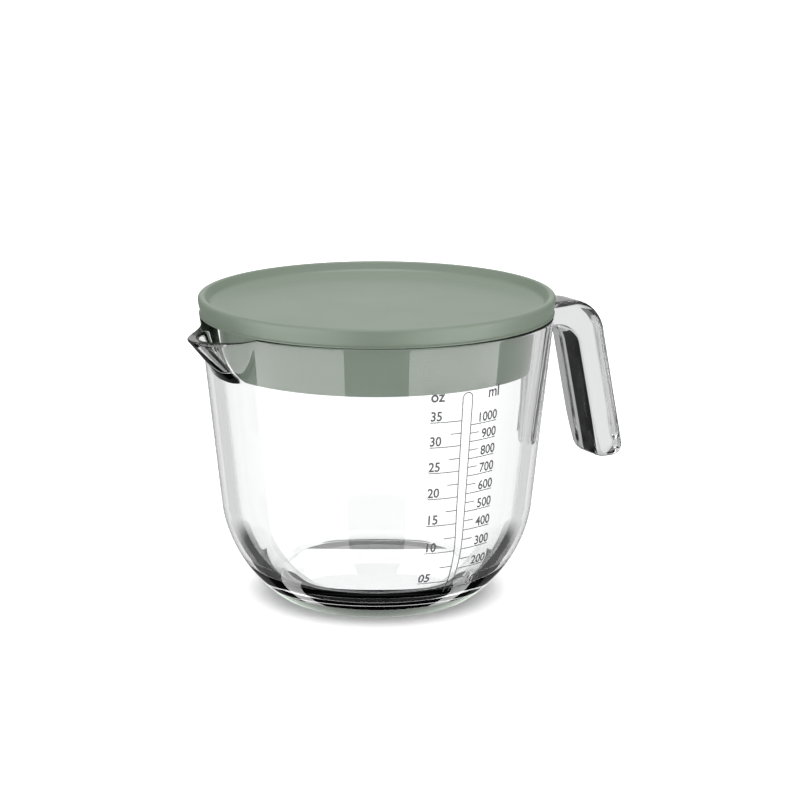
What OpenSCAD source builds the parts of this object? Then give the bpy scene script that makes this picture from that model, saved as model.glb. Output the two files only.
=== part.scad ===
// Measuring bowl with a lift-off lid.
// Millimetres, +Z up. The origin is on the bowl's axis, at the surface it stands on.
// The handle points along +X, the spout along -X and the printed scale faces -Y.

/* [Bowl] */
// Height of the bowl's rim above the table
bowl_h = 126; // [110:1:150]
// Outer radius at the rim
rim_r = 77.7; // [70:0.1:90]
// Thickness of the moulded wall
wall = 6.8; // [4:0.1:8]
// Outward lean of the straight upper wall, in degrees
wall_lean = 5.8; // [3:0.1:7]
// Height where the straight wall turns into the belly
belly_top = 41.8; // [36:0.1:48]
// Radius of the belly's curve in section
belly_r = 57.5; // [54:0.1:60]
// Thickness of the bowl's floor
floor_t = 10; // [6:0.1:12]
// Radius of the curve between the floor and the belly inside
floor_round = 20; // [10:0.5:24]
// Rounding of the rim's two edges
rim_round = 1.2; // [0.5:0.1:1.8]
// Rounding of the edge that the bowl stands on
foot_round = 2; // [1:0.1:3]

/* [Spout] */
// How far the spout's lip reaches out past the wall
spout_reach = 16.4; // [8:0.1:18]
// How far below the rim the spout's ridge meets the wall
spout_depth = 22; // [16:0.5:30]
// Half of the rim length that the spout takes up
spout_half_w = 26; // [18:0.5:30]
// How far the lip dips below the rim
lip_dip = 3.4; // [1:0.1:5]
// Thickness of the lip
lip_t = 5.2; // [3:0.1:6]

/* [Handle] */
// Width of the handle across
handle_w = 22.5; // [16:0.5:28]
// Thickness of the grip from its inner to its outer face
grip_t = 17.8; // [14:0.1:20]
// Reach of the grip's inner face past the rim, at the end of the bend
finger_gap = 23.3; // [18:0.1:32]
// How far the grip hangs below the rim
handle_drop = 79.5; // [60:0.5:95]
// Drop from the rim to the handle's upper face
handle_top_gap = 3.6; // [2:0.1:6]
// Height of the arm that joins the grip to the wall
arm_t = 9.8; // [8:0.1:14]
// Radius of the inner corner of the bend
bend_r = 13; // [6:0.5:16]
// Outward lean of the grip, in degrees
grip_lean = 12; // [4:0.5:14]
// How far the grip's outer face is domed
dome_h = 7.2; // [2:0.1:8]
// Rounding of the arm's upper edges
arm_round = 2.6; // [1:0.1:4]
// Rounding of the grip's inner edges
grip_soft = 0.9; // [0.4:0.1:2]
// Rounding of the grip's lower end
tip_round = 6; // [3:0.1:7]

/* [Lid] */
// How far the lid's edge reaches past the rim
lid_overhang = 0.5; // [0.2:0.1:2]
// Height of the lid's edge above the bowl's rim
lid_edge_h = 8.4; // [6:0.1:12]
// Depth of the recess in the lid's top
lid_recess = 5.2; // [3:0.1:6]
// Width of the raised brim round the flat disc
brim_w = 12.2; // [9:0.1:18]
// Width of the rounded crest round the lid
crest_w = 2.7; // [2:0.1:4]
// Inward slope of the lid's outer side, from crest to foot
lid_side_in = 1.1; // [0:0.1:2]
// Thickness of the lid's top
lid_t = 2; // [1.5:0.1:3]
// Depth of the plug below the bowl's rim
plug_depth = 21.6; // [12:0.1:30]
// Thickness of the plug's wall
plug_t = 2; // [1.5:0.1:3]
// Gap between the plug and the bowl's wall
plug_gap = 2.2; // [1:0.1:3]
// Gap between the lid's seat and the bowl's rim
seat_gap = 0.3; // [0.2:0.05:0.5]

/* [Hidden] */
$fn = 64;
// turns the seam of the round wall away from the handle and the spout
seam_turn = 45;
// small overrun that keeps cuts and joins clean
over = 0.5;
// steps round and up the spout, and round one corner of the grip
spout_steps = 20;
spout_rows = 8;
round_steps = 6;
// a rounding's steps stand this much outside its true curve, so that its ends cross the sides
slack_share = 1.03;
corner_steps = 3;
dome_steps = 8;
bend_steps = 8;
grip_steps = 6;
tip_steps = 5;

function cone_r(z) = rim_r - (bowl_h - z) * tan(wall_lean);
// centre of the belly's curve, which runs into the straight wall without a corner
belly_z = belly_top + belly_r * sin(wall_lean);
belly_x = cone_r(belly_top) - belly_r * cos(wall_lean);
function wall_shift(inset) = inset / cos(wall_lean);
function turn_z(inset) = belly_z - (belly_r - inset) * sin(wall_lean);

// everything inside the wall's face, set in by inset, between two heights
module filled_section(inset, low, high) {
    turn = turn_z(inset);
    polygon([[0, turn], [cone_r(turn) - wall_shift(inset), turn],
        [cone_r(high) - wall_shift(inset), high], [0, high]]);
    intersection() {
        translate([belly_x, belly_z]) circle(r = belly_r - inset);
        translate([0, low]) square([rim_r, turn - low]);
    }
}

// the sliver outside a rounding where the curved side meets a level bottom
module bottom_corner(inset, low, round_r) {
    reach = belly_r - inset;
    centre = [belly_x + sqrt(pow(reach - round_r, 2) - pow(belly_z - low - round_r, 2)), low + round_r];
    away = (centre - [belly_x, belly_z]) / (reach - round_r);
    lift = -atan2(away[1], away[0]);
    foot = [centre[0], low];
    side = centre + away * round_r;
    polygon(concat(
        [for (i = [0:round_steps]) let (q = lift + (90 - lift) * i / round_steps)
            centre + round_r * [cos(q), -sin(q)]],
        [foot - [0, over], [side[0] + round_r, low - over], side + away * over]));
}

module rounded_section(inset, low, high, round_r) {
    difference() {
        filled_section(inset, low, high);
        bottom_corner(inset, low, round_r);
    }
}

// the sliver outside a rounding of the corner at p, whose sides run towards a and b
module corner_sliver(p, a, b, round_r) {
    ua = (a - p) / norm(a - p);
    ub = (b - p) / norm(b - p);
    half = acos(ua * ub) / 2;
    mid = (ua + ub) / norm(ua + ub);
    side = (ua - ub) / norm(ua - ub);
    centre = p + mid * round_r / sin(half);
    polygon(concat([p - mid * over],
        [for (i = [0:round_steps]) let (q = (90 - half) * (1 - 2 * i / round_steps))
            centre + round_r * slack_share * (side * sin(q) - mid * cos(q))]));
}

module wall_section() {
    rim_out = [rim_r, bowl_h];
    rim_in = [rim_r - wall_shift(wall), bowl_h];
    difference() {
        rounded_section(0, 0, bowl_h, foot_round);
        rounded_section(wall, floor_t, bowl_h + over, floor_round);
        corner_sliver(rim_out, rim_in, [cone_r(belly_top), belly_top], rim_round);
        corner_sliver(rim_in, rim_out, rim_in - [tan(wall_lean), 1] * wall, rim_round);
    }
}

// a closed solid from rings of points, each ring with the same count; its two ends are
// closed with strips between a ring's first half and its second, which runs back
module skin(rings) {
    n = len(rings[0]);
    m = len(rings);
    points = [for (ring = rings) for (p = ring) p];
    sides = [for (j = [0:m - 2]) for (i = [0:n - 1])
        let (a = j * n + i, b = j * n + (i + 1) % n, c = a + n, d = b + n)
        each [[a, c, d], [a, d, b]]];
    last = (m - 1) * n;
    ends = [for (i = [0:n / 2 - 2]) each [
        [i, i + 1, n - 2 - i], [i, n - 2 - i, n - 1 - i],
        [last + n - 2 - i, last + i + 1, last + i], [last + n - 1 - i, last + n - 2 - i, last + i]]];
    polyhedron(points, concat(sides, ends), convexity = 8);
}

// spout: at each height the wall swells outwards, most on the axis
spout_angle = asin(spout_half_w / rim_r);
spout_foot = bowl_h - spout_depth;
// how narrow the swell is where it starts
spout_foot_share = 0.42;
// the swell starts this share of the wall below the surface, so that it leaves the wall cleanly
spout_sink_share = 0.03;
function rise(z) = max(0, min(1, (z - spout_foot) / spout_depth));
function swell_width(z) = spout_angle * (spout_foot_share + (1 - spout_foot_share) * sqrt(rise(z)));
function bump(t) = abs(t) < 1 ? pow(cos(90 * t), 2) : 0;
function swell(a, z) = spout_reach * rise(z) * bump(a / swell_width(z));
function lip_z(a) = bowl_h - lip_dip * (1 - pow(abs(a) / spout_angle, 3));
function polar(r, a, z) = [-r * cos(a), -r * sin(a), z];
function spread(i) = -spout_angle + 2 * spout_angle * i / spout_steps;

// rings from the spout's foot to just past its lip: the outer face, then back inside the wall
function spout_ring(share) =
    let (heights = [for (i = [0:spout_steps]) spout_foot + (lip_z(spread(i)) + over - spout_foot) * share])
    concat(
        [for (i = [0:spout_steps]) let (z = heights[i], a = spread(i))
            polar(cone_r(z) - wall * spout_sink_share + swell(a, z), a, z)],
        [for (i = [spout_steps:-1:0]) polar(cone_r(heights[i]) - wall / 2, spread(i), heights[i])]);

module spout_shell() {
    skin([for (j = [0:spout_rows]) spout_ring(j / spout_rows)]);
}

// the channel is a cone that opens upwards, with its outer line the lip's thickness inside the ridge
channel_low_share = 0.34;
channel_low_r = wall * channel_low_share;
channel_x = cone_r(spout_foot) - wall - channel_low_r;
channel_foot = spout_foot;
channel_top = bowl_h + wall;
channel_slope = (rim_r + spout_reach - lip_t - channel_x - channel_low_r) / (bowl_h - channel_foot);
module spout_channel() {
    translate([-channel_x, 0, channel_foot]) rotate([0, 0, seam_turn])
        cylinder(h = channel_top - channel_foot, r1 = channel_low_r,
            r2 = channel_low_r + (channel_top - channel_foot) * channel_slope);
}

// what lies above the dipping lip is cut away, a little wider than the spout
cut_spread_share = 1.07;
module lip_cut() {
    far = rim_r + spout_reach + wall;
    near = rim_r - 2 * wall;
    function low(i) = lip_z(spread(i) * cut_spread_share);
    skin([for (t = [0, 1]) concat(
        [for (i = [0:spout_steps]) polar(far, spread(i) * cut_spread_share, t == 0 ? low(i) : channel_top)],
        [for (i = [spout_steps:-1:0]) polar(near, spread(i) * cut_spread_share, t == 0 ? low(i) : channel_top)])]);
}

// handle: an inner and an outer line in the XZ plane, joined by rounded rings
arm_top = bowl_h - handle_top_gap;
arm_low = arm_top - arm_t;
root_x = cone_r(arm_low) - wall / 2;
turn = 90 - grip_lean;
bend_x = rim_r + finger_gap - bend_r * sin(turn);
bend_z = arm_low - bend_r;
in_x = bend_x + bend_r * sin(turn);
in_z = bend_z + bend_r * cos(turn);
out_x = in_x + grip_t * cos(grip_lean);
out_z = in_z + grip_t * sin(grip_lean);
outer_bend_r = (arm_top - out_z) / (1 - cos(turn));
outer_bend_x = out_x - outer_bend_r * sin(turn);
outer_bend_z = arm_top - outer_bend_r;
grip_low = bowl_h - handle_drop;
tip_top = grip_low + tip_round;
// where the inner edges begin to round off towards the tip, as shares of the grip's length
fade_share = 0.62;
tip_edge_share = 0.55;
dome_share = 0.97;
arm_top_share = 0.5;

// one station: inner point, outer point, half width, rounding of the inner edges, dome height, dome half width
function grip_point(s) =
    let (zi = in_z + (tip_top - in_z) * s, zo = out_z + (tip_top - out_z) * s)
    [in_x + (in_z - zi) * tan(grip_lean), zi, out_x + (out_z - zo) * tan(grip_lean), zo];
function soft_at(s) = grip_soft
    + (tip_round * tip_edge_share - grip_soft) * pow(max(0, (s - fade_share) / (1 - fade_share)), 2);
function arm_station(x) = [[x, arm_low], [x, arm_top], handle_w / 2, grip_soft, arm_round,
    handle_w / 2 * arm_top_share];
function bend_station(t) = [
    [bend_x + bend_r * sin(turn * t), bend_z + bend_r * cos(turn * t)],
    [outer_bend_x + outer_bend_r * sin(turn * t), outer_bend_z + outer_bend_r * cos(turn * t)],
    handle_w / 2, grip_soft, arm_round + (dome_h - arm_round) * t,
    handle_w / 2 * (arm_top_share + (dome_share - arm_top_share) * t)];
function grip_station(s) = let (p = grip_point(s))
    [[p[0], p[1]], [p[2], p[3]], handle_w / 2, soft_at(s), dome_h, handle_w / 2 * dome_share];
function tip_station(q) =
    let (p = grip_point(1), down = tip_round * sin(q), shrink = tip_round * (1 - cos(q)),
        lean_x = down * tan(grip_lean), half = handle_w / 2 - shrink * tip_edge_share)
    [[p[0] + lean_x + shrink * tip_edge_share, p[1] - down], [p[2] + lean_x - shrink, p[3] - down], half,
        tip_round * tip_edge_share, dome_h * (1 - (1 - cos(q)) * tip_edge_share), half * dome_share];

function station_ring(st) =
    let (a = st[0], b = st[1], w = st[2], soft = st[3], dome = st[4], dome_w = st[5],
        t = norm(b - a), u = (b - a) / t,
        near = concat(
            [for (i = [0:corner_steps]) let (q = 90 * i / corner_steps)
                [-w + soft * (1 - sin(q)), soft * (1 - cos(q))]],
            [for (i = [0:dome_steps]) let (q = 90 * i / dome_steps)
                [-w + dome_w * (1 - cos(q)), t - dome * (1 - sin(q))]]),
        n = len(near))
    [for (i = [0:2 * n - 1]) let (p = i < n ? near[i] : near[2 * n - 1 - i], y = i < n ? -p[0] : p[0])
        [a[0] + u[0] * p[1], y, a[1] + u[1] * p[1]]];

module handle_bar() {
    skin(concat(
        [station_ring(arm_station(root_x))],
        [for (i = [0:bend_steps]) station_ring(bend_station(i / bend_steps))],
        [for (i = [1:grip_steps]) station_ring(grip_station(i / grip_steps))],
        [for (i = [1:tip_steps]) station_ring(tip_station(90 * i / tip_steps))]));
}

module bowl() {
    color([0.93, 0.95, 0.95, 0.45])
    difference() {
        union() {
            rotate([0, 0, seam_turn]) rotate_extrude() wall_section();
            spout_shell();
            handle_bar();
        }
        spout_channel();
        lip_cut();
    }
}

// lid: the brim rests on the rim and the plug hangs inside the wall
lid_r = rim_r + lid_overhang;
lid_flat_r = lid_r - brim_w;
seat_z = bowl_h + seat_gap;
crest_z = bowl_h + lid_edge_h;
crest_r = crest_w / 2;
crest_x = lid_r - crest_r;
flat_z = crest_z - lid_recess;
under_z = flat_z - lid_t;
brim_foot_r = lid_r - lid_side_in;
function plug_r(z) = cone_r(z) - wall_shift(wall) - plug_gap;
plug_low = bowl_h - plug_depth;
// the recess falls steeply from the crest and then runs out flat: shares of its width and depth
steep_x_share = 0.29;
steep_z_share = 0.73;
recess_w = crest_x - crest_r - lid_flat_r;
steep_x = crest_x - crest_r - recess_w * steep_x_share;
steep_z = flat_z + lid_recess * (1 - steep_z_share);
edge_round_share = 0.4;
crest_round_share = 0.46;
edge_round = lid_t * edge_round_share;
crest_round = crest_w * crest_round_share;

module lid_section() {
    crest_low = crest_z - crest_w;
    outline = [
        [0, flat_z], [lid_flat_r, flat_z], [steep_x, steep_z], [crest_x - crest_r, crest_z], [lid_r, crest_z],
        [lid_r, crest_low], [brim_foot_r, seat_z], [plug_r(seat_z), seat_z], [plug_r(plug_low), plug_low],
        [plug_r(plug_low) - plug_t, plug_low], [plug_r(under_z) - plug_t, under_z], [0, under_z]];
    difference() {
        polygon(outline);
        // the crest's two corners, then the brim's foot and the plug's lower edge
        for (i = [3, 4]) corner_sliver(outline[i], outline[i - 1], outline[i + 1], crest_round);
        for (i = [6, 8, 9]) corner_sliver(outline[i], outline[i - 1], outline[i + 1], edge_round);
    }
}

module lid() {
    color([0.58, 0.64, 0.58])
    rotate_extrude() lid_section();
}

bowl();
lid();
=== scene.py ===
import math
import bmesh
import bpy
import numpy as np
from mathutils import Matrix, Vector


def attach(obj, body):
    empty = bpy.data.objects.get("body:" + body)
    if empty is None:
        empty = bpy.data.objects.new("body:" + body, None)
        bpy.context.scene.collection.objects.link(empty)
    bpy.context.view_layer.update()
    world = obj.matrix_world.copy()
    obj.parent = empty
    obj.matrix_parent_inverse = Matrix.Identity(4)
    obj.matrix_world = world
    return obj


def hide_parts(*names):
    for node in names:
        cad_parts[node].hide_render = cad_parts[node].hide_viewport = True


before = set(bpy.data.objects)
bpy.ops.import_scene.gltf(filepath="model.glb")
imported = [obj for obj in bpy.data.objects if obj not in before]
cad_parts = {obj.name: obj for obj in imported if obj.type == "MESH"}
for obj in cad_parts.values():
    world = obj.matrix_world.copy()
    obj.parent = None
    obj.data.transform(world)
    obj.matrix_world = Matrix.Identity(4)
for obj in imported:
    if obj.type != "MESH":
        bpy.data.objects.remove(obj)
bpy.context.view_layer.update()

scene = bpy.context.scene
mm = 0.001
quarterTurn, fullTurn = math.pi / 2, 2 * math.pi
white = (1, 1, 1)
print("frame loaded:", ", ".join(sorted(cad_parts)))


# small helpers
def meshObject(name, points, faces, material, smooth=True):
    # points in millimetres; the object stays at the origin, its place is in its mesh
    mesh = bpy.data.meshes.new(name)
    mesh.from_pydata((np.asarray(points, float) * mm).tolist(), [], [list(f) for f in faces])
    mesh.validate()
    mesh.update()
    if smooth:
        mesh.polygons.foreach_set("use_smooth", np.ones(len(mesh.polygons), bool))
    mesh.materials.append(material)
    piece = bpy.data.objects.new(name, mesh)
    scene.collection.objects.link(piece)
    return piece


def gridFaces(rows, columns, wrapColumns=False):
    # quads between neighbouring rows and columns of a grid that is stored row by row
    across = columns if wrapColumns else columns - 1
    i, j = np.meshgrid(np.arange(rows - 1), np.arange(across), indexing="ij")
    k = (j + 1) % columns
    quads = np.stack([i * columns + j, i * columns + k, (i + 1) * columns + k, (i + 1) * columns + j], -1)
    return quads.reshape(-1, 4)


def closedFaces(rows, columns):
    # the quads of a grid that runs once round, and a fan of triangles at its first and its last row,
    # whose two centre points follow the grid's own points
    first, last = rows * columns, (rows - 1) * columns
    j = np.arange(columns)
    k = (j + 1) % columns
    lowFan = np.stack([np.full(columns, first), k, j], -1)
    highFan = np.stack([np.full(columns, first + 1), last + j, last + k], -1)
    return gridFaces(rows, columns, True).tolist() + lowFan.tolist() + highFan.tolist()


filletLimits = {"steps": 8, "nearlyStraight": 1.565, "sideShare": 0.499}


def fillet(points, radii):
    # each corner of an open line is cut back by its radius times the tangent of half its turn
    # and replaced by an arc that leaves both sides smoothly
    limits = filletLimits
    points = np.asarray(points, float)
    out = [points[0]]
    for before, corner, after, radius in zip(points[:-2], points[1:-1], points[2:], radii[1:-1]):
        back, onward = before - corner, after - corner
        backLength, onwardLength = np.linalg.norm(back), np.linalg.norm(onward)
        back, onward = back / backLength, onward / onwardLength
        half = math.acos(np.clip(back @ onward, -1, 1)) / 2
        if radius <= 0 or half > limits["nearlyStraight"]:
            out.append(corner)
            continue
        longest = limits["sideShare"] * min(backLength, onwardLength)
        cut = min(radius / math.tan(half), longest)
        radius = cut * math.tan(half)
        middle = corner + (back + onward) / np.linalg.norm(back + onward) * radius / math.sin(half)
        start, end = corner + back * cut - middle, corner + onward * cut - middle
        sweep = math.pi - 2 * half
        t = np.linspace(0, 1, limits["steps"] + 1)[:, None]
        out += list(middle + (start * np.sin((1 - t) * sweep) + end * np.sin(t * sweep)) / math.sin(sweep))
    out.append(points[-1])
    return np.array(out)


def lathe(name, profile, material, turns):
    # the profile (radius, height) starts and ends on the axis and is carried round it
    inner = profile[1:-1]
    a = np.arange(turns) * fullTurn / turns
    ring = np.stack([inner[:, 0, None] * np.cos(a), inner[:, 0, None] * np.sin(a),
                     np.repeat(inner[:, 1, None], turns, 1)], -1).reshape(-1, 3)
    points = np.vstack([ring, [0, 0, profile[0, 1]], [0, 0, profile[-1, 1]]])
    return meshObject(name, points, closedFaces(len(inner), turns), material)


def linkAll(tree, pairs):
    for source, target in pairs:
        tree.links.new(source, target)


# materials: a color, a gloss, and the size and depth of the face's unevenness
clearPlastic = {
    # the second color is the handle's darker grey, partly painted shade
    "color": (0.985, 0.99, 0.99), "handleShadeColor": (0.57, 0.575, 0.575), "ior": 1.49, "roughness": 0.004,
    "grainSize": 25.0, "grainDepth": 0.02, "waveSize": 12.0, "variation": 0.8,
}
sagePlastic = {
    "color": (0.25, 0.31, 0.243), "ior": 1.47, "roughness": 0.42,
    "grainSize": 900.0, "grainDepth": 0.08, "waveSize": 40.0, "variation": 0.25,
}
scaleInk = {
    "color": (0.045, 0.045, 0.05), "ior": 1.5, "roughness": 0.5,
    "grainSize": 4000.0, "grainDepth": 0.2, "waveSize": 300.0, "variation": 0.3,
}
surfaceDetail = {"grainDetail": 2, "waveDetail": 1, "bumpDistance": 0.00004, "middleGrey": 0.5}
surfaceInputs = ("grainSize", "grainDepth", "waveSize", "roughness", "variation")


def newMaterial(name, color, **values):
    material = bpy.data.materials.new(name)
    material.use_nodes = True
    shader = material.node_tree.nodes["Principled BSDF"]
    shader.inputs["Base Color"].default_value = (*color, 1)
    for key, value in values.items():
        shader.inputs[key].default_value = value
    return material, material.node_tree, shader


def mouldedSurface():
    # the faint speckle of a moulded face as a normal, and its slow waves as a change of roughness:
    # roughness times one plus the variation times how far the wave is from middle grey
    group = bpy.data.node_groups.new("mouldedSurface", "ShaderNodeTree")
    for name in surfaceInputs:
        group.interface.new_socket(name, in_out="INPUT", socket_type="NodeSocketFloat")
    group.interface.new_socket("Normal", in_out="OUTPUT", socket_type="NodeSocketVector")
    group.interface.new_socket("Roughness", in_out="OUTPUT", socket_type="NodeSocketFloat")
    nodes = group.nodes
    enter, leave = nodes.new("NodeGroupInput"), nodes.new("NodeGroupOutput")
    place = nodes.new("ShaderNodeTexCoord").outputs["Object"]
    grain, wave = nodes.new("ShaderNodeTexNoise"), nodes.new("ShaderNodeTexNoise")
    grain.inputs["Detail"].default_value = surfaceDetail["grainDetail"]
    wave.inputs["Detail"].default_value = surfaceDetail["waveDetail"]
    bump = nodes.new("ShaderNodeBump")
    bump.inputs["Distance"].default_value = surfaceDetail["bumpDistance"]
    centre, scaled, spread = (nodes.new("ShaderNodeMath") for _ in range(3))
    centre.operation, scaled.operation, spread.operation = "SUBTRACT", "MULTIPLY", "MULTIPLY_ADD"
    centre.inputs[1].default_value = surfaceDetail["middleGrey"]
    linkAll(group, (
        (place, grain.inputs["Vector"]),
        (place, wave.inputs["Vector"]),
        (enter.outputs["grainSize"], grain.inputs["Scale"]),
        (enter.outputs["waveSize"], wave.inputs["Scale"]),
        (grain.outputs["Fac"], bump.inputs["Height"]),
        (enter.outputs["grainDepth"], bump.inputs["Strength"]),
        (bump.outputs["Normal"], leave.inputs["Normal"]),
        (wave.outputs["Fac"], centre.inputs[0]),
        (centre.outputs[0], scaled.inputs[0]),
        (enter.outputs["variation"], scaled.inputs[1]),
        (scaled.outputs[0], spread.inputs[0]),
        (enter.outputs["roughness"], spread.inputs[1]),
        (enter.outputs["roughness"], spread.inputs[2]),
        (spread.outputs[0], leave.inputs["Roughness"]),
    ))
    return group


surfaceGroup = mouldedSurface()


def plasticOf(name, finish, color, transmission=0.0):
    material, tree, shader = newMaterial(name, color, **{
        "Transmission Weight": transmission, "IOR": finish["ior"], "Roughness": finish["roughness"]})
    surface = tree.nodes.new("ShaderNodeGroup")
    surface.node_tree = surfaceGroup
    for key in surfaceInputs:
        surface.inputs[key].default_value = finish[key]
    linkAll(tree, ((surface.outputs["Roughness"], shader.inputs["Roughness"]),
                   (surface.outputs["Normal"], shader.inputs["Normal"])))
    return material


# the solid handle swallows more light than the thin wall; its darker copy of the clear plastic is partly
# that and partly painted shade
clearMaterial = plasticOf("clearPlastic", clearPlastic, clearPlastic["color"], 1.0)
shadedClearMaterial = plasticOf("shadedClearPlastic", clearPlastic, clearPlastic["handleShadeColor"], 1.0)
lidMaterial = plasticOf("sagePlastic", sagePlastic, sagePlastic["color"])
inkMaterial = plasticOf("scalePrint", scaleInk, scaleInk["color"])
print("materials made")


# bowl
bowlShape = {
    "height": 126.0, "rimRadius": 77.7, "wall": 6.8, "lean": 5.8, "bellyTop": 41.8, "bellyRadius": 57.5,
    "floor": 10.0, "floorRound": 20.0, "rimRound": 1.1, "footRound": 2.0,
    "spoutReach": 16.4, "spoutDepth": 22.0, "spoutHalfWidth": 26.0, "spoutFootShare": 0.42,
    "spoutMargin": 0.6, "swellLimit": 1.02, "lipDip": 3.4, "lipThickness": 5.2,
    "undersideShares": (0.2, 0.5, 0.75, 0.92), "floorShares": (0.85, 0.6, 0.35, 0.12),
    "rimShares": (0.33, 0.67), "spoutSideAngle": 25, "sharpAngle": 38,
    # how finely each stretch of the section is cut, and the round on the spout's side and elsewhere
    "steps": {"foot": 7, "outerBelly": 49, "straight": 18, "outerSpout": 44, "rimCorner": 7,
              "innerSpout": 56, "innerBelly": 30, "floorRound": 14, "spoutSide": 132, "otherSides": 240},
}
lean = math.radians(bowlShape["lean"])
wallAcross = bowlShape["wall"] / math.cos(lean)
bellyZ = bowlShape["bellyTop"] + bowlShape["bellyRadius"] * math.sin(lean)


def coneRadius(z):
    # the straight wall's outside, which narrows downwards by its lean
    return bowlShape["rimRadius"] - (bowlShape["height"] - z) * math.tan(lean)


bellyX = coneRadius(bowlShape["bellyTop"]) - bowlShape["bellyRadius"] * math.cos(lean)


def outerRadius(z):
    # the straight wall above the belly's top, the belly's circle below it
    arc = bellyX + np.sqrt(np.maximum(0, bowlShape["bellyRadius"] ** 2 - (bellyZ - z) ** 2))
    return np.where(z > bowlShape["bellyTop"], coneRadius(z), arc)


spoutAngle = math.asin(bowlShape["spoutHalfWidth"] / bowlShape["rimRadius"])
spoutFoot = bowlShape["height"] - bowlShape["spoutDepth"]


def lipHeight(a):
    # the rim's height at the angle a from the spout's middle: the whole dip there, and less of it
    # by the cube of the share of the way to the spout's side
    share = np.minimum(1, np.abs(a) / spoutAngle)
    return bowlShape["height"] - bowlShape["lipDip"] * (1 - share ** 3)


def swell(a, z):
    # a squared cosine across; its reach grows with the height, its width with the height's square root
    footShare = bowlShape["spoutFootShare"]
    rise = np.clip((z - spoutFoot) / bowlShape["spoutDepth"], 0, bowlShape["swellLimit"])
    width = spoutAngle * (footShare + (1 - footShare) * np.sqrt(rise))
    t = np.clip(np.abs(a) / width, 0, 1)
    return bowlShape["spoutReach"] * rise * np.cos(t * quarterTurn) ** 2


def innerRadius(a, z):
    # the inside follows the outside, and its channel deepens a little faster, so the lip is thinner
    thinner = (wallAcross - bowlShape["lipThickness"]) / bowlShape["spoutReach"]
    return coneRadius(z) - wallAcross + swell(a, z) * (1 + thinner)


def cornerArc(corner, sideA, sideB, steps):
    # a quarter of an ellipse from sideA to sideB that runs into both sides of the corner: its centre
    # is sideA plus sideB less the corner
    q = np.linspace(0, quarterTurn, steps)[:, None, None]
    c = sideA + sideB - corner
    return c + (sideA - c) * np.cos(q) + (sideB - c) * np.sin(q)


def bowlRows(a):
    # the wall's section at every angle a, as rows of (radius, height)
    s, steps = bowlShape, bowlShape["steps"]
    n = len(a)
    rows = []

    def level(radius, z):
        rows.append(np.stack([np.broadcast_to(radius, n), np.broadcast_to(z, n)], -1))

    def arc(x, z, radius, angles):
        # levels along a circle's arc round the point (x, z)
        for q in angles:
            level(x + radius * math.cos(q), z + radius * math.sin(q))

    # underside, foot rounding and belly
    foot = s["footRound"]
    reach = s["bellyRadius"] - foot
    footX = bellyX + math.sqrt(reach ** 2 - (bellyZ - foot) ** 2)
    meeting = math.atan2((foot - bellyZ) / reach, (footX - bellyX) / reach)
    for share in s["undersideShares"]:
        level(footX * share, 0.0)
    arc(footX, foot, foot, np.linspace(-quarterTurn, meeting, steps["foot"]))
    arc(bellyX, bellyZ, s["bellyRadius"], np.linspace(meeting, -lean, steps["outerBelly"])[1:])

    # straight outer wall, then the part that swells into the spout, up to the rim
    top, swellFrom, rimRound = lipHeight(a), spoutFoot - s["spoutMargin"], s["rimRound"]
    for z in np.linspace(s["bellyTop"], swellFrom, steps["straight"])[1:]:
        level(coneRadius(z), z)
    for share in np.linspace(0, 1, steps["outerSpout"])[1:]:
        z = swellFrom + (top - rimRound - swellFrom) * share
        rows.append(np.stack([coneRadius(z) + swell(a, z), z], -1))
    outerTop = np.stack([coneRadius(top) + swell(a, top), top], -1)
    innerTop = np.stack([innerRadius(a, top), top], -1)
    innerSide = np.stack([innerRadius(a, top - rimRound), top - rimRound], -1)
    inward = np.array([rimRound, 0.0])
    rows += list(cornerArc(outerTop, rows[-1], outerTop - inward, steps["rimCorner"])[1:])
    for share in s["rimShares"]:
        rows.append((outerTop - inward) * (1 - share) + (innerTop + inward) * share)
    rows += list(cornerArc(innerTop, innerTop + inward, innerSide, steps["rimCorner"]))

    # inner wall with the channel, then the plain inner wall, belly and floor
    for share in np.linspace(0, 1, steps["innerSpout"])[1:]:
        z = top - rimRound - (top - rimRound - swellFrom) * share
        rows.append(np.stack([innerRadius(a, z), z], -1))
    inner = s["bellyRadius"] - s["wall"]
    for z in np.linspace(swellFrom, bellyZ - inner * math.sin(lean), steps["straight"])[1:]:
        level(coneRadius(z) - wallAcross, z)
    roundZ = s["floor"] + s["floorRound"]
    roundX = bellyX + math.sqrt((inner - s["floorRound"]) ** 2 - (bellyZ - roundZ) ** 2)
    meeting = math.atan2(roundZ - bellyZ, roundX - bellyX)
    arc(bellyX, bellyZ, inner, np.linspace(-lean, meeting, steps["innerBelly"])[1:])
    arc(roundX, roundZ, s["floorRound"], np.linspace(meeting, -quarterTurn, steps["floorRound"])[1:])
    for share in s["floorShares"]:
        level(roundX * share, s["floor"])
    return np.stack(rows)


def bowlBody(material):
    # the section carried round the axis, with closer steps on the spout's side, at -X
    half, steps = math.radians(bowlShape["spoutSideAngle"]), bowlShape["steps"]
    a = np.concatenate([np.linspace(-half, half, steps["spoutSide"], endpoint=False),
                        np.linspace(half, fullTurn - half, steps["otherSides"], endpoint=False)])
    rows = bowlRows(a)
    turn = math.pi + a
    points = np.stack([rows[..., 0] * np.cos(turn), rows[..., 0] * np.sin(turn), rows[..., 1]], -1)
    points = np.vstack([points.reshape(-1, 3), [0, 0, 0], [0, 0, bowlShape["floor"]]])
    return meshObject("bowlWall", points, closedFaces(len(rows), len(a)), material)


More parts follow.
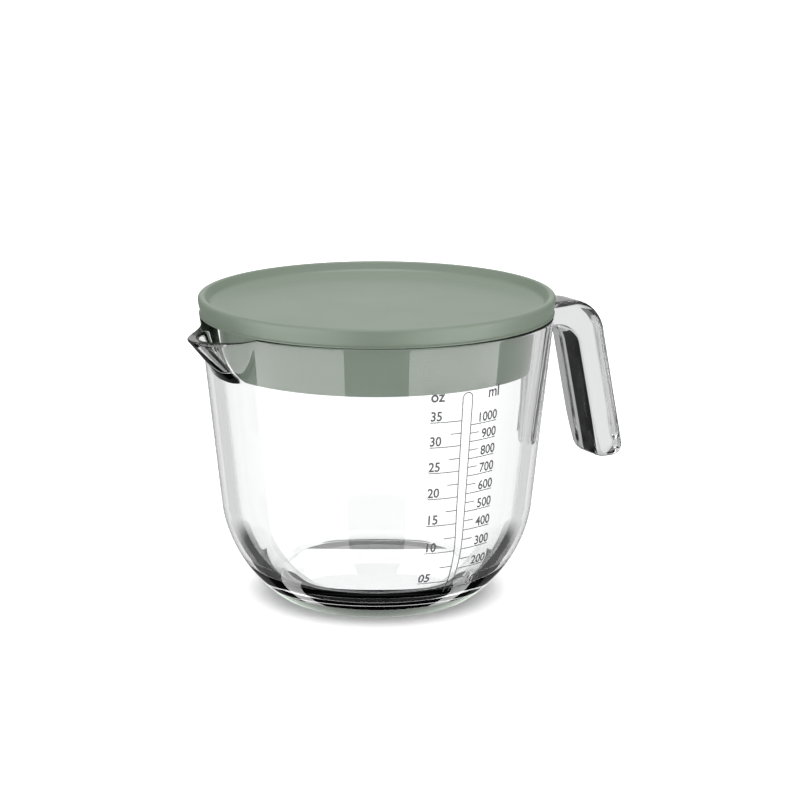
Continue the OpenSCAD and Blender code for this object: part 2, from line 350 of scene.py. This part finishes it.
handleShape = {
    "width": 22.5, "thickness": 17.77, "fingerGap": 23.3, "drop": 79.5, "topGap": 3.6, "armHeight": 9.8,
    "bendRadius": 13.0, "lean": 12.0, "dome": 7.2, "armRound": 2.6, "edgeRound": 0.9, "tipRound": 6.0,
    "domeShare": 0.97, "armTopShare": 0.5, "fadeShare": 0.62, "tipEdgeShare": 0.55,
    "steps": {"arm": 8, "bend": 30, "grip": 28, "tip": 12, "edge": 6, "dome": 17},
}


def handleStations():
    # arm, bend, grip and tip as rows of: inner point, outer point, half width, edge, dome, dome half width
    h, steps = handleShape, handleShape["steps"]
    armTop = bowlShape["height"] - h["topGap"]
    armLow = armTop - h["armHeight"]
    tilt, turn, half = math.radians(h["lean"]), math.radians(90 - h["lean"]), h["width"] / 2
    innerR = h["bendRadius"]
    bendX = bowlShape["rimRadius"] + h["fingerGap"] - innerR * math.sin(turn)
    bendZ = armLow - innerR
    inX, inZ = bendX + innerR * math.sin(turn), bendZ + innerR * math.cos(turn)
    outX, outZ = inX + h["thickness"] * math.cos(tilt), inZ + h["thickness"] * math.sin(tilt)
    outerR = (armTop - outZ) / (1 - math.cos(turn))
    outerX, outerZ = outX - outerR * math.sin(turn), armTop - outerR
    tipTop = bowlShape["height"] - h["drop"] + h["tipRound"]
    rootX = coneRadius(armLow) - bowlShape["wall"] / 2
    stations = [(x, armLow, x, armTop, half, h["edgeRound"], h["armRound"], half * h["armTopShare"])
                for x in np.linspace(rootX, bendX, steps["arm"], endpoint=False)]
    for t in np.linspace(0, 1, steps["bend"], endpoint=False):
        sine, cosine = math.sin(turn * t), math.cos(turn * t)
        dome = h["armRound"] + (h["dome"] - h["armRound"]) * t
        domeHalf = half * (h["armTopShare"] + (h["domeShare"] - h["armTopShare"]) * t)
        stations.append((bendX + innerR * sine, bendZ + innerR * cosine, outerX + outerR * sine,
                         outerZ + outerR * cosine, half, h["edgeRound"], dome, domeHalf))

    def gripPoint(share):
        # the inner and the outer point at a share of the way down the leaning grip
        innerZ, outerZ = inZ + (tipTop - inZ) * share, outZ + (tipTop - outZ) * share
        return (inX + (inZ - innerZ) * math.tan(tilt), innerZ,
                outX + (outZ - outerZ) * math.tan(tilt), outerZ)

    tipEdge = h["tipRound"] * h["tipEdgeShare"]
    for share in np.linspace(0, 1, steps["grip"]):
        fade = max(0, (share - h["fadeShare"]) / (1 - h["fadeShare"])) ** 2
        edge = h["edgeRound"] + (tipEdge - h["edgeRound"]) * fade
        stations.append((*gripPoint(share), half, edge, h["dome"], half * h["domeShare"]))
    ix, iz, ox, oz = gripPoint(1)
    for q in np.linspace(0, quarterTurn, steps["tip"])[1:]:
        down, shrink = h["tipRound"] * math.sin(q), h["tipRound"] * (1 - math.cos(q))
        inward = shrink * h["tipEdgeShare"]
        lead = down * math.tan(tilt)
        dome = h["dome"] * (1 - (1 - math.cos(q)) * h["tipEdgeShare"])
        stations.append((ix + lead + inward, iz - down, ox + lead - shrink, oz - down, half - inward,
                         tipEdge, dome, (half - inward) * h["domeShare"]))
    return np.array(stations)


def handleBar(material):
    # each ring: a flat inner side with rounded edges, straight sides and an elliptical dome outside
    stations = handleStations()
    inner, outer = stations[:, 0:2], stations[:, 2:4]
    half, edge, dome, domeHalf = (stations[:, k, None] for k in (4, 5, 6, 7))
    depth = np.linalg.norm(outer - inner, axis=1)[:, None]
    unit = (outer - inner) / depth
    edgeTurn, domeTurn = (np.linspace(0, quarterTurn, handleShape["steps"][key])[None]
                          for key in ("edge", "dome"))
    y = np.hstack([-half + edge * (1 - np.sin(edgeTurn)), -half + domeHalf * (1 - np.cos(domeTurn))])
    d = np.hstack([edge * (1 - np.cos(edgeTurn)), depth - dome * (1 - np.sin(domeTurn))])
    # both halves, so that the ring runs once round
    y, d = np.hstack([-y, y[:, ::-1]]), np.hstack([d, d[:, ::-1]])
    x, z = inner[:, 0, None] + unit[:, 0, None] * d, inner[:, 1, None] + unit[:, 1, None] * d
    points = np.stack([x, y, z], -1).reshape(-1, 3)
    n = y.shape[1]
    faces = gridFaces(len(stations), n, True).tolist()
    # each end is closed by quads between its two halves
    last = (len(stations) - 1) * n
    i = np.arange(n // 2 - 1)
    root = np.stack([i, n - 1 - i, n - 2 - i, i + 1], -1)
    faces += np.stack([root, last + root[:, ::-1]], 1).reshape(-1, 4).tolist()
    return meshObject("handleBar", points, faces, material)


def joined(base, tool, name):
    # one closed solid from the two, worked out exactly; each keeps its material
    modifier = base.modifiers.new("join", "BOOLEAN")
    modifier.operation, modifier.solver, modifier.object = "UNION", "EXACT", tool
    modifier.material_mode = "TRANSFER"
    mesh = bpy.data.meshes.new_from_object(base.evaluated_get(bpy.context.evaluated_depsgraph_get()))
    for old in (base, tool):
        bpy.data.objects.remove(old)
    mesh.name = name
    piece = bpy.data.objects.new(name, mesh)
    scene.collection.objects.link(piece)
    return piece


def outwards(piece):
    # turns every face of a closed mesh outwards and counts its open edges
    work = bmesh.new()
    work.from_mesh(piece.data)
    bmesh.ops.recalc_face_normals(work, faces=work.faces)
    if work.calc_volume(signed=True) < 0:
        bmesh.ops.reverse_faces(work, faces=work.faces)
    openEdges = sum(not e.is_manifold for e in work.edges)
    work.to_mesh(piece.data)
    work.free()
    return openEdges


wallPiece = bowlBody(clearMaterial)
barPiece = handleBar(shadedClearMaterial)
print("open edges:", outwards(wallPiece), outwards(barPiece))
bowl = joined(wallPiece, barPiece, "clearBowl")
print("open edges after joining:", outwards(bowl), "faces:", len(bowl.data.polygons))
bowl.data.polygons.foreach_set("use_smooth", np.ones(len(bowl.data.polygons), bool))
bowl.data.set_sharp_from_angle(angle=math.radians(bowlShape["sharpAngle"]))
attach(bowl, "bowl") or bowl
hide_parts("bowl")
print("bowl made")


# lid
lidShape = {
    "radius": 78.2, "edgeHeight": 8.4, "recess": 5.2, "flatRadius": 66.0, "crest": 2.7, "sideIn": 1.1,
    "bead": 0.7, "beadHeight": 1.0, "thickness": 2.0,
    "plugDepth": 21.6, "plugWall": 2.0, "plugGap": 1.1, "seatGap": 0.3,
    "flatShare": 0.5, "steepAcrossShare": 0.29, "steepDownShare": 0.73,
    "flatRound": 14, "steepRound": 3.5, "crestInnerRound": 1.25, "crestOuterRound": 1.3, "sideRound": 14,
    "beadFootRound": 0.8, "beadRound": 0.3, "seatRound": 0.5, "plugRound": 0.8, "insideRound": 2.0,
    "turns": 256, "sharpAngle": 50,
}


def lidProfile():
    # from the middle of the top, over the crest, down the side and the plug, to the middle underneath
    s = lidShape
    height, side = bowlShape["height"], s["radius"]
    crestZ = height + s["edgeHeight"]
    flatZ, seatZ, plugLow = crestZ - s["recess"], height + s["seatGap"], height - s["plugDepth"]
    under = flatZ - s["thickness"]
    crestIn, sideLow = side - s["crest"], side - s["sideIn"]
    beadX = sideLow + s["bead"]
    steepX = crestIn - (crestIn - s["flatRadius"]) * s["steepAcrossShare"]
    steepZ = flatZ + s["recess"] * (1 - s["steepDownShare"])

    def plugRadius(z):
        return coneRadius(z) - wallAcross - s["plugGap"]

    # each corner: radius, height and rounding
    corners = np.array([
        (0, flatZ, 0),
        (s["flatRadius"] * s["flatShare"], flatZ, 0),
        (s["flatRadius"], flatZ, s["flatRound"]),
        (steepX, steepZ, s["steepRound"]),
        (crestIn, crestZ, s["crestInnerRound"]),
        (side, crestZ, s["crestOuterRound"]),
        (side, crestZ - s["crest"], s["sideRound"]),
        (sideLow, seatZ + s["beadHeight"], s["beadFootRound"]),
        (beadX, seatZ + s["beadHeight"] / 2, s["beadRound"]),
        (beadX, seatZ, s["beadRound"]),
        (plugRadius(seatZ), seatZ, s["seatRound"]),
        (plugRadius(plugLow), plugLow, s["plugRound"]),
        (plugRadius(plugLow) - s["plugWall"], plugLow, s["plugRound"]),
        (plugRadius(under) - s["plugWall"], under, s["insideRound"]),
        (0, under, 0),
    ])
    return fillet(corners[:, :2], corners[:, 2])


lid = lathe("sageLid", lidProfile()[::-1], lidMaterial, lidShape["turns"])
outwards(lid)
lid.data.set_sharp_from_angle(angle=math.radians(lidShape["sharpAngle"]))
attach(lid, "lid") or lid
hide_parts("lid")
print("lid made")


# printed scale: heights of the marks above the table, then the sizes of lines and digits
printShape = {
    "millilitres": [(1000, 90.75), (900, 83.35), (800, 75.8), (700, 68.1), (600, 60.2), (500, 52.15),
                    (400, 43.85), (300, 35.25), (200, 25.9), (100, 15.65)],
    "ounces": [("35", 93.2), ("30", 82.25), ("25", 70.95), ("20", 59.4), ("15", 47.4), ("10", 34.95),
               ("05", 20.1)],
    "raise": 0.04, "lineWidth": 0.4, "lineOuter": 16.0, "leftGap": 0.5,
    "halfTick": 6.9, "leftTickExtra": 0.2,
    "tubeWidth": 0.46, "tubeTop": 105.2, "tubeLow": 14.0, "centre": 0.15,
    "tubeHeights": (14, 53, 103), "tubeHalfWidths": (1.3, 2.0, 2.35),
    "digits": 4.15, "digitSqueeze": 0.93, "digitWeight": 0.028, "digitLift": 0.75,
    "rightDigitGap": 0.4, "leftDigitGap": 0.3, "capShare": 0.72, "curveSteps": 4,
    "letters": 4.9, "letterGap": 0.9, "ounceSignZ": 102.3, "millilitreSignZ": 101.6,
    "leftLean": 0.022, "leanFrom": 50, "lift": 0.0011, "markSteps": 14, "tubeSteps": 60, "tubeTopSteps": 20,
}


def onWall(x, z, raised):
    # x millimetres round the wall from the middle of its -Y side, at the height z, and raised
    # square off the wall there
    r = outerRadius(z)
    a = x / r
    bellySlope = np.arcsin(np.clip((bellyZ - z) / bowlShape["bellyRadius"], -1, 1))
    slope = np.where(z > bowlShape["bellyTop"], lean, bellySlope)
    out = r + raised * np.cos(slope)
    return np.stack([out * np.sin(a), -out * np.cos(a), z - raised * np.sin(slope)], -1)


def inkStrip(centreX, centreZ, width):
    # a band of ink whose middle line passes through the points, width across it
    path = np.stack([centreX, centreZ], -1)
    step = np.gradient(path, axis=0)
    step /= np.linalg.norm(step, axis=1)[:, None]
    side = np.stack([-step[:, 1], step[:, 0]], -1) * width / 2
    flat = np.stack([path + side, path - side])
    return onWall(flat[..., 0], flat[..., 1], printShape["raise"]).reshape(-1, 3), gridFaces(2, len(path))


def tubeHalfWidth(z):
    return np.interp(z, printShape["tubeHeights"], printShape["tubeHalfWidths"])


def leftOuter(z):
    # the left end of the ounce marks, which lean out a little in the upper half
    return -printShape["lineOuter"] - printShape["leftLean"] * max(0.0, z - printShape["leanFrom"])


def between(heights):
    return (np.array(heights[:-1]) + np.array(heights[1:])) / 2


def merged(name, parts, smooth):
    # one mesh from pairs of points and faces
    points, faces, count = [], [], 0
    for partPoints, partFaces in parts:
        points.append(partPoints)
        faces += [[k + count for k in f] for f in partFaces]
        count += len(partPoints)
    return meshObject(name, np.vstack(points), faces, inkMaterial, smooth)


def printedLines():
    p = printShape
    strips = []

    def mark(x0, x1, z):
        # the ends of a mark rise by the lift times the square of their distance from the middle
        x = np.linspace(x0, x1, p["markSteps"])
        strips.append(inkStrip(x, z + p["lift"] * x ** 2, p["lineWidth"]))

    ml, oz = [z for _, z in p["millilitres"]], [z for _, z in p["ounces"]]
    for z in ml:
        mark(p["centre"] + tubeHalfWidth(z), p["lineOuter"], z)
    for z in between(ml):
        mark(p["centre"] + tubeHalfWidth(z), p["halfTick"], z)
    for z in oz:
        mark(p["centre"] - tubeHalfWidth(z), leftOuter(z) + p["leftGap"], z)
    for z in between(oz):
        mark(p["centre"] - tubeHalfWidth(z), -p["halfTick"] - p["leftTickExtra"], z)
    # the column: up one side, round its top, down the other
    top = p["tubeTop"] - float(tubeHalfWidth(p["tubeTop"]))
    z = np.linspace(p["tubeLow"], top, p["tubeSteps"])
    q = np.linspace(math.pi, 0, p["tubeTopSteps"])[1:-1]
    w = float(tubeHalfWidth(top))
    x = np.concatenate([-tubeHalfWidth(z), w * np.cos(q), tubeHalfWidth(z[::-1])]) + p["centre"]
    strips.append(inkStrip(x, np.concatenate([z, top + w * np.sin(q), z[::-1]]), p["tubeWidth"]))
    return merged("printedMarks", strips, True)


def printedNumber(text, x, z, height, align):
    # the flat letters become a mesh and are laid on the wall, where they are too small to need finer cuts
    p = printShape
    curve = bpy.data.curves.new("numberCurve", "FONT")
    curve.body, curve.align_x, curve.size = text, align, height / p["capShare"]
    curve.resolution_u, curve.offset = p["curveSteps"], p["digitWeight"] * height
    temp = bpy.data.objects.new("numberCurve", curve)
    scene.collection.objects.link(temp)
    mesh = bpy.data.meshes.new_from_object(temp.evaluated_get(bpy.context.evaluated_depsgraph_get()))
    bpy.data.objects.remove(temp)
    co = np.zeros(len(mesh.vertices) * 3)
    mesh.vertices.foreach_get("co", co)
    co = co.reshape(-1, 3)
    polygons = [list(f.vertices) for f in mesh.polygons]
    bpy.data.meshes.remove(mesh)
    u = co[:, 0] * p["digitSqueeze"] + x
    v = co[:, 1] + z + p["lift"] * u ** 2
    return onWall(u, v, p["raise"]), polygons


def printedNumbers():
    p = printShape
    right, left = p["lineOuter"], -p["lineOuter"]
    words = [(str(n), right + p["rightDigitGap"], z + p["digitLift"], p["digits"], "RIGHT")
             for n, z in p["millilitres"]]
    words += [(n, leftOuter(z) + p["leftDigitGap"], z + p["digitLift"], p["digits"], "LEFT")
              for n, z in p["ounces"]]
    words += [("oz", left - p["letterGap"], p["ounceSignZ"], p["letters"], "LEFT"),
              ("ml", right + p["letterGap"], p["millilitreSignZ"], p["letters"], "RIGHT")]
    return merged("printedNumbers", [printedNumber(*word) for word in words], False)


for piece in (printedLines(), printedNumbers()):
    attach(piece, "bowl")
print("printed scale made")


# camera: its lens and shift come from the picture's width, the focal length and the place of
# the bowl's axis in the picture, all in pixels
cameraSetting = {
    "turn": -30.0, "rise": 13.8, "distance": 1061.95, "aim": 83.8, "sensor": 36,
    "pictureWidth": 810, "focalPixels": 2400, "middlePixel": 376.75, "clipNear": 0.01, "clipFar": 50,
}


def directionOf(turn, rise):
    # from the object outwards: turn degrees round from -Y towards +X, rise degrees up
    a, e = math.radians(turn), math.radians(rise)
    return Vector((math.sin(a) * math.cos(e), -math.cos(a) * math.cos(e), math.sin(e)))


def newCamera(c):
    data = bpy.data.cameras.new("camera")
    data.sensor_width = c["sensor"]
    data.lens = c["focalPixels"] / c["pictureWidth"] * c["sensor"]
    data.shift_x = (c["pictureWidth"] / 2 - c["middlePixel"]) / c["pictureWidth"]
    data.clip_start, data.clip_end = c["clipNear"], c["clipFar"]
    camera = bpy.data.objects.new("camera", data)
    scene.collection.objects.link(camera)
    away = directionOf(c["turn"], c["rise"])
    camera.location = (Vector((0, 0, c["aim"])) + away * c["distance"]) * mm
    camera.rotation_mode = "QUATERNION"
    camera.rotation_quaternion = away.to_track_quat("Z", "Y")
    scene.camera = camera


newCamera(cameraSetting)


# floor, light and background; turns are measured from the camera's side, growing to the right
studio = {
    "ambient": 0.6, "floorColor": 0.96, "floorRoughness": 0.9, "floorZ": -0.05, "floorSize": 4000.0,
    # the floor's glow for the camera, and the two radii of a painted contact shadow round the foot: no glow
    # inside the first, full glow from the second
    "floorGlow": 0.7, "paintedShadowInner": 0.043, "paintedShadowOuter": 0.063,
    "sunTurn": 178.0, "sunRise": 83.0, "sunSpread": 30.0, "sunStrength": 1.26,
}


def greyOf(value):
    return (value, value, value)


def switchedColor(tree, switch, off, on):
    # the color off where the Light Path's output named switch is 0, the color on where it is 1 or more
    rays, shade = tree.nodes.new("ShaderNodeLightPath"), tree.nodes.new("ShaderNodeMix")
    shade.data_type = "RGBA"
    shade.inputs["A"].default_value = (*off, 1)
    shade.inputs["B"].default_value = (*on, 1)
    tree.links.new(rays.outputs[switch], shade.inputs["Factor"])
    return shade.outputs["Result"]


def smoothRange(tree, value, **limits):
    ramp = tree.nodes.new("ShaderNodeMapRange")
    ramp.interpolation_type = "SMOOTHSTEP"
    for name, limit in limits.items():
        ramp.inputs[name].default_value = limit
    tree.links.new(value, ramp.inputs["Value"])
    return ramp.outputs["Result"]


def whiteWorld():
    # white to look at, dimmer as light on the lid and the floor
    world = bpy.data.worlds.new("studio")
    scene.world = world
    world.use_nodes = True
    tree = world.node_tree
    background = tree.nodes["Background"]
    background.inputs["Strength"].default_value = 1.0
    color = switchedColor(tree, "Is Diffuse Ray", white, greyOf(studio["ambient"]))
    tree.links.new(color, background.inputs["Color"])


def paleFloor():
    # the white table glows for the camera only, and less close to the foot: a painted shadow round the
    # foot, where the glow fades out
    material, tree, shader = newMaterial("paleFloor", greyOf(studio["floorColor"]), **{
        "Roughness": studio["floorRoughness"], "Specular IOR Level": 0, "Emission Color": (*white, 1)})
    path, glow = tree.nodes.new("ShaderNodeLightPath"), tree.nodes.new("ShaderNodeMath")
    place, reach = tree.nodes.new("ShaderNodeTexCoord"), tree.nodes.new("ShaderNodeVectorMath")
    glow.operation, reach.operation = "MULTIPLY", "LENGTH"
    ramp = smoothRange(tree, reach.outputs["Value"], **{
        "From Min": studio["paintedShadowInner"], "From Max": studio["paintedShadowOuter"], "To Max": studio["floorGlow"]})
    linkAll(tree, (
        (place.outputs["Object"], reach.inputs[0]),
        (ramp, glow.inputs[0]),
        (path.outputs["Is Camera Ray"], glow.inputs[1]),
        (glow.outputs[0], shader.inputs["Emission Strength"]),
    ))
    size, z = studio["floorSize"], studio["floorZ"]
    corners = [(-size, -size, z), (size, -size, z), (size, size, z), (-size, size, z)]
    floor = meshObject("floor", corners, [(0, 1, 2, 3)], material, smooth=False)
    # the clear walls look past the floor, to the white studio and the dark cards under the table
    floor.visible_glossy = floor.visible_transmission = False


whiteWorld()
paleFloor()


# cards: the camera sees none of them itself, and only refractions or only reflections meet each
cardShape = {
    "middleHeight": 80, "acrossSteps": 25, "upSteps": 13, "baseZ": -0.03, "baseSteps": 24, "ringSteps": 96,
    "roomGrey": 0.5,
}
cardTones = {
    "black": (0.012, 0.012, 0.013), "coal": greyOf(0.035), "slate": greyOf(0.085), "dim": greyOf(0.13),
    "middle": greyOf(0.5), "silver": greyOf(0.74), "pale": greyOf(0.78), "greenWhite": (0.9, 1.0, 0.9),
    "white": white,
}


def cardMaterial(name, tone, strength, lit):
    # a plain light; lit is its brightness as light on the lid, when that isn't the one that is seen
    color = cardTones[tone]
    material = bpy.data.materials.new(name)
    material.use_nodes = True
    tree = material.node_tree
    tree.nodes.remove(tree.nodes["Principled BSDF"])
    light = tree.nodes.new("ShaderNodeEmission")
    light.inputs["Color"].default_value = (*color, 1)
    light.inputs["Strength"].default_value = strength
    tree.links.new(light.outputs[0], tree.nodes["Material Output"].inputs["Surface"])
    if lit is None and max(color) < cardShape["roomGrey"]:
        # a dark card shows dark in the plastic, but it lights the lid like a grey room
        lit = cardShape["roomGrey"]
    if lit is not None:
        tree.links.new(switchedColor(tree, "Diffuse Depth", color, greyOf(lit)), light.inputs["Color"])
    return material


def placeCard(name, right, behind, up, faces, tone, strength=1.0, seenIn="refraction", lit=None):
    # points given to the right of, behind and above the object, seen from the camera
    a = math.radians(cameraSetting["turn"])
    x, y = right * math.cos(a) - behind * math.sin(a), right * math.sin(a) + behind * math.cos(a)
    material = cardMaterial(name, tone, strength, lit)
    card = meshObject(name, np.stack([x, y, up], -1), faces, material, smooth=False)
    card.visible_camera = card.visible_diffuse = card.visible_shadow = False
    card.visible_glossy, card.visible_transmission = seenIn == "reflection", seenIn == "refraction"
    return card


def screen(name, turns, rises, distance, tone, strength=1.0, seenIn="refraction", lit=None):
    # a piece of a ball round the object, between two turns and two rises
    across, high = cardShape["acrossSteps"], cardShape["upSteps"]
    t, e = np.meshgrid(np.radians(np.linspace(*turns, across)), np.radians(np.linspace(*rises, high)))
    right, behind = distance * np.cos(e) * np.sin(t), -distance * np.cos(e) * np.cos(t)
    up = distance * np.sin(e) + cardShape["middleHeight"]
    faces = gridFaces(high, across).tolist()
    return placeCard(name, right.ravel(), behind.ravel(), up.ravel(), faces, tone, strength, seenIn, lit)


def uprightCard(name, right, behind, up, tone):
    x = np.array([right[0], right[1], right[1], right[0]], float)
    z = np.array([up[0], up[0], up[1], up[1]], float)
    return placeCard(name, x, np.full(4, float(behind)), z, [(0, 1, 2, 3)], tone)


def baseCard(name, near, far, radius, tone, strength=1.0):
    # the part of a disc under the base that lies between two depths
    ends = [math.atan2(d, math.sqrt(max(0.0, radius ** 2 - d ** 2))) for d in (near, far)]
    a = np.linspace(*ends, cardShape["baseSteps"])
    x = np.concatenate([radius * np.cos(a), -radius * np.cos(a[::-1])])
    y = np.concatenate([radius * np.sin(a), radius * np.sin(a[::-1])])
    return placeCard(name, x, y, np.full(len(x), cardShape["baseZ"]), [list(range(len(x)))], tone, strength)


def baseRing(name, inner, outer, tone, strength):
    # a flat ring under the base, for reflections only
    count = cardShape["ringSteps"]
    a = np.linspace(0, fullTurn, count, endpoint=False)
    radius = np.array([inner, outer])[:, None]
    x, y = (radius * np.cos(a)).ravel(), (radius * np.sin(a)).ravel()
    return placeCard(name, x, y, np.full(len(x), cardShape["baseZ"]), gridFaces(2, count, True).tolist(),
                     tone, strength, "reflection")


def fadeUp(card, lower, upper):
    # the card's grey runs from the lower (height in metres, grey) to the upper one
    tree = card.data.materials[0].node_tree
    place, split = tree.nodes.new("ShaderNodeTexCoord"), tree.nodes.new("ShaderNodeSeparateXYZ")
    tree.links.new(place.outputs["Object"], split.inputs[0])
    grey = smoothRange(tree, split.outputs["Z"], **{
        "From Min": lower[0], "From Max": upper[0], "To Min": lower[1], "To Max": upper[1]})
    tree.links.new(grey, tree.nodes["Emission"].inputs["Color"])


# seen through the plastic: a bright panel behind and dark all round below
screen("backPanel", turns=(150, 210), rises=(-36, 6), distance=2600, tone="white", strength=1.12)
for side in (-1, 1):
    screen("underSide", turns=(side * 60, side * 167), rises=(-46, -29), distance=2400, tone="slate")
    screen("underLow", turns=(side * 60, side * 161), rises=(-90, -46), distance=2400, tone="coal")
    screen("greySide", turns=(side * 95, side * 152), rises=(-21.5, 12), distance=2420, tone="pale")
    # the dark fades out upwards
    edge = screen("underEdge", turns=(side * 60, side * 157), rises=(-30, -21.5), distance=2410,
                  tone="middle")
    fadeUp(edge, lower=(-1.125, 0.05), upper=(-0.8, 0.8))
screen("underBack", turns=(161, 199), rises=(-90, -43), distance=2400, tone="black")
screen("highBack", turns=(100, 260), rises=(15, 60), distance=2450, tone="black")
screen("underFront", turns=(-60, 60), rises=(-90, -56), distance=2400, tone="black")
# this one is grey to look at, but it lights the lid as a bright panel
screen("frontPanel", turns=(-75, 75), rises=(-54, 60), distance=2600, tone="silver", lit=1.45)
# a black flag behind the handle and to its right, and close under the base a white card with black edges,
# the edges a painted contact shadow where the heel meets the table
uprightCard("rightFlag", right=(111, 149), behind=130, up=(33, 118), tone="black")
baseCard("backHeelShadow", near=27.5, far=43.9, radius=44, tone="black")
baseCard("frontHeelShadow", near=-43.9, far=-28.5, radius=44, tone="black")
baseCard("floorPanel", near=-28.4, far=27.4, radius=33.5, tone="white", strength=1.42)

# mirrored in the plastic: a dim room, over a black card that paints the table's shadow under the bowl
mirrored = {"seenIn": "reflection"}
screen("dimRoom", turns=(-165, 165), rises=(-75, 30), distance=2500, tone="dim", **mirrored)
screen("paintedTableShadow", turns=(-180, 180), rises=(-90, -40), distance=2450, tone="black", **mirrored)
# painted reflections in place of the pale table close under the foot and beside it, which the bottom of the
# bowl mirrors: a glowing greenish white ring and two bright white strips
baseRing("paintedFootReflection", inner=30.0, outer=49.0, tone="greenWhite", strength=1.45)
for side in (-1, 1):
    screen("paintedSideReflection", turns=(side * 104, side * 160), rises=(-58, -49), distance=2100, tone="white",
           strength=2.6, **mirrored)
screen("dimCeiling", turns=(100, 260), rises=(17, 88), distance=2550, tone="middle", **mirrored)
# a soft box on each side of the camera
screen("softLeft", turns=(-86, -21), rises=(-60, 25), distance=2000, tone="white", strength=4.0, **mirrored)
screen("softRight", turns=(21, 86), rises=(-60, 25), distance=2000, tone="white", strength=4.0, **mirrored)


def placeSun():
    # a broad sun almost overhead, a little behind the object
    data = bpy.data.lights.new("sun", "SUN")
    data.energy, data.angle = studio["sunStrength"], math.radians(studio["sunSpread"])
    sun = bpy.data.objects.new("sun", data)
    scene.collection.objects.link(sun)
    towards = directionOf(studio["sunTurn"] + cameraSetting["turn"], studio["sunRise"])
    sun.rotation_mode = "QUATERNION"
    sun.rotation_quaternion = towards.to_track_quat("Z", "Y")


placeSun()
print("stage and light made")

scene.view_settings.view_transform = "Standard"
